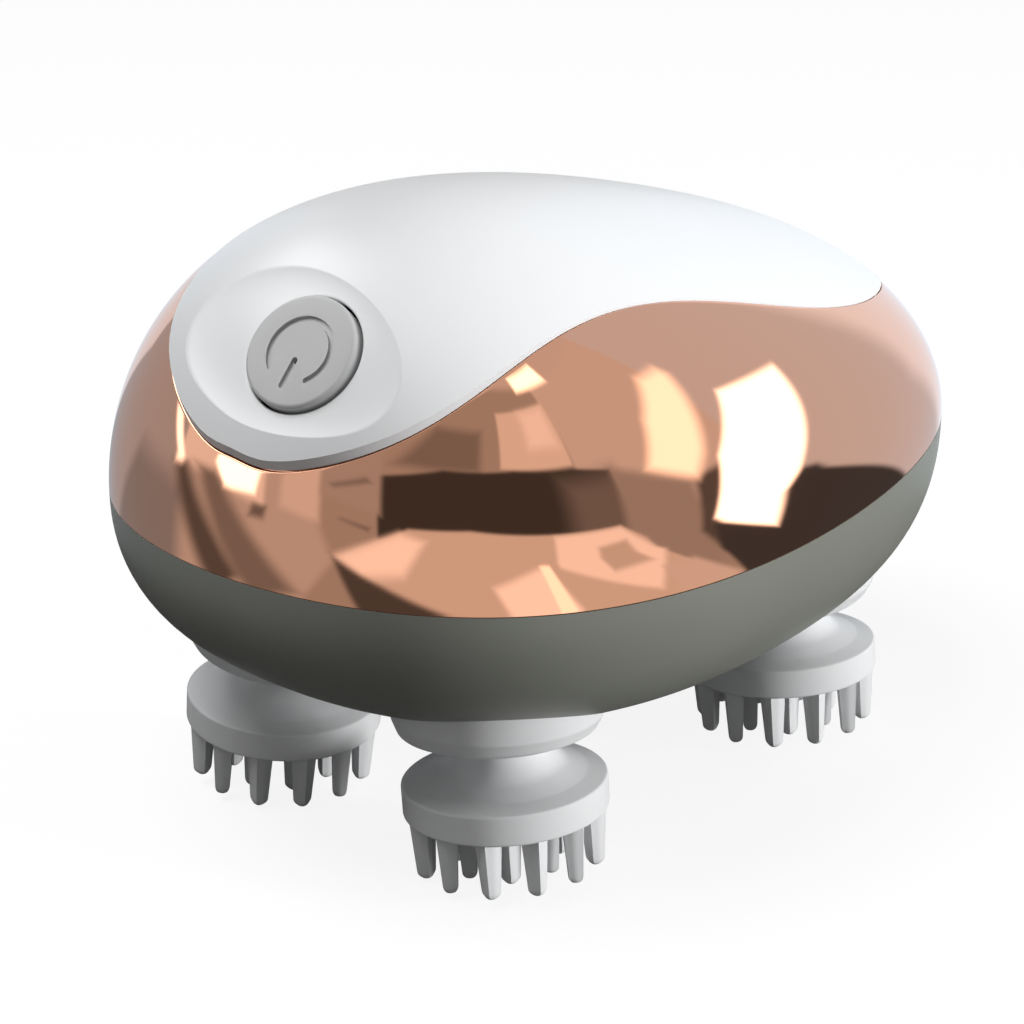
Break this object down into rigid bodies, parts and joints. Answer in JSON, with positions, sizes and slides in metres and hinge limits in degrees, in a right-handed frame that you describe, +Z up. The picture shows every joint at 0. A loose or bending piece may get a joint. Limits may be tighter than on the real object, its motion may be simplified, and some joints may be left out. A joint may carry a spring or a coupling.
{
  "type": "electric pet massage brush",
  "caption": "Egg-shaped handheld massager with a plated shell, a white cover, a power button and soft rotating kneading heads under it.",
  "frame": {"origin": "On the ground under the middle of the body, at the tips of the lowest tines.", "axes": "+Z up, +X towards the pointed end, -X towards the blunt end with the power button, and +Y completes the right-handed frame. Left heads are at -Y."},
  "size_m": [0.124, 0.0912, 0.0812],
  "materials": {
    "bowl_plastic": "satin dark grey moulded plastic",
    "rose_gold_plating": "mirror rose-gold plating over moulded plastic",
    "cover_plastic": "soft gloss white moulded plastic",
    "button_plastic": "satin grey moulded plastic",
    "silicone": "matt light grey silicone",
    "seal_rubber": "matt black rubber",
    "frame_plastic": "dark moulded plastic",
    "gear_plastic": "natural nylon",
    "steel": "plain bright steel",
    "bronze": "machined bronze",
    "black_plastic": "black moulded plastic",
    "circuit_board": "green solder mask",
    "battery_wrap": "blue shrink wrap",
    "contact_gold": "gold-plated contacts"
  },
  "bodies": {
    "housing": {"lower_housing": "bowl_plastic", "upper_housing": "rose_gold_plating", "top_cover": "cover_plastic", "boot_front_left": "silicone", "boot_front_right": "silicone", "boot_rear_left": "silicone", "boot_rear_right": "silicone", "housing_seal": "seal_rubber", "gearbox_base": "frame_plastic", "gearbox_deck": "frame_plastic", "battery_tray": "frame_plastic", "motor_can": "steel", "motor_clamp": "steel", "centre_axle_left": "steel", "centre_axle_right": "steel", "board_screw_left": "steel", "board_screw_right": "steel", "clamp_screw_left": "steel", "clamp_screw_right": "steel", "base_screw_front": "steel", "base_screw_rear": "steel", "deck_screw_front": "steel", "deck_screw_rear": "steel", "shell_screw_front_left": "steel", "shell_screw_front_right": "steel", "shell_screw_rear_left": "steel", "shell_screw_rear_right": "steel", "worm_bearing": "bronze", "bush_front_left": "bronze", "bush_front_right": "bronze", "bush_rear_left": "bronze", "bush_rear_right": "bronze", "motor_cap": "black_plastic", "charging_port": "black_plastic", "tact_switch": "black_plastic", "control_board": "circuit_board", "battery_cell": "battery_wrap", "charging_contact_left": "contact_gold", "charging_contact_right": "contact_gold"},
    "head_front_left": {"head_gear_front_left": "gear_plastic", "spindle_front_left": "steel", "head_core_front_left": "gear_plastic", "head_pad_front_left": "silicone"},
    "head_front_right": {"head_gear_front_right": "gear_plastic", "spindle_front_right": "steel", "head_core_front_right": "gear_plastic", "head_pad_front_right": "silicone"},
    "head_rear_left": {"head_gear_rear_left": "gear_plastic", "spindle_rear_left": "steel", "head_core_rear_left": "gear_plastic", "head_pad_rear_left": "silicone"},
    "head_rear_right": {"head_gear_rear_right": "gear_plastic", "spindle_rear_right": "steel", "head_core_rear_right": "gear_plastic", "head_pad_rear_right": "silicone"},
    "centre_gear_left": {"centre_gear_left": "gear_plastic"},
    "centre_gear_right": {"centre_gear_right": "gear_plastic"},
    "rotor": {"motor_shaft": "steel", "worm": "bronze"},
    "button": {"power_button": "button_plastic"}
  },
  "joints": [
    {"name": "head_front_left_spin", "type": "hinge", "parent": "housing", "child": "head_front_left", "pos_m": [-0.0335, -0.0183, 0.025], "axis": [0, 0, 1], "continuous": true},
    {"name": "head_front_right_spin", "type": "hinge", "parent": "housing", "child": "head_front_right", "pos_m": [-0.0335, 0.0183, 0.025], "axis": [0, 0, 1], "continuous": true},
    {"name": "head_rear_left_spin", "type": "hinge", "parent": "housing", "child": "head_rear_left", "pos_m": [0.0233, -0.0183, 0.025], "axis": [0, 0, 1], "continuous": true},
    {"name": "head_rear_right_spin", "type": "hinge", "parent": "housing", "child": "head_rear_right", "pos_m": [0.0233, 0.0183, 0.025], "axis": [0, 0, 1], "continuous": true},
    {"name": "centre_gear_left_spin", "type": "hinge", "parent": "housing", "child": "centre_gear_left", "pos_m": [-0.0051, -0.0183, 0.0405], "axis": [0, 0, 1], "continuous": true},
    {"name": "centre_gear_right_spin", "type": "hinge", "parent": "housing", "child": "centre_gear_right", "pos_m": [-0.0051, 0.0183, 0.0405], "axis": [0, 0, 1], "continuous": true},
    {"name": "rotor_spin", "type": "hinge", "parent": "housing", "child": "rotor", "pos_m": [-0.0051, 0, 0.04885], "axis": [1, 0, 0], "continuous": true},
    {"name": "power_button_press", "type": "slide", "parent": "housing", "child": "button", "axis": [0.7539, 0.1461, -0.6405], "range_m": [0, 0.0006], "stiffness_N_per_m": 400}
  ],
  "couplings": [
    {"joint": "head_front_right_spin", "follows": "head_front_left_spin", "ratio": -1},
    {"joint": "head_rear_left_spin", "follows": "head_front_left_spin", "ratio": 1},
    {"joint": "head_rear_right_spin", "follows": "head_front_left_spin", "ratio": -1},
    {"joint": "centre_gear_left_spin", "follows": "head_front_left_spin", "ratio": -0.88889},
    {"joint": "centre_gear_right_spin", "follows": "head_front_left_spin", "ratio": 0.88889},
    {"joint": "rotor_spin", "follows": "head_front_left_spin", "ratio": -17.778}
  ]
}
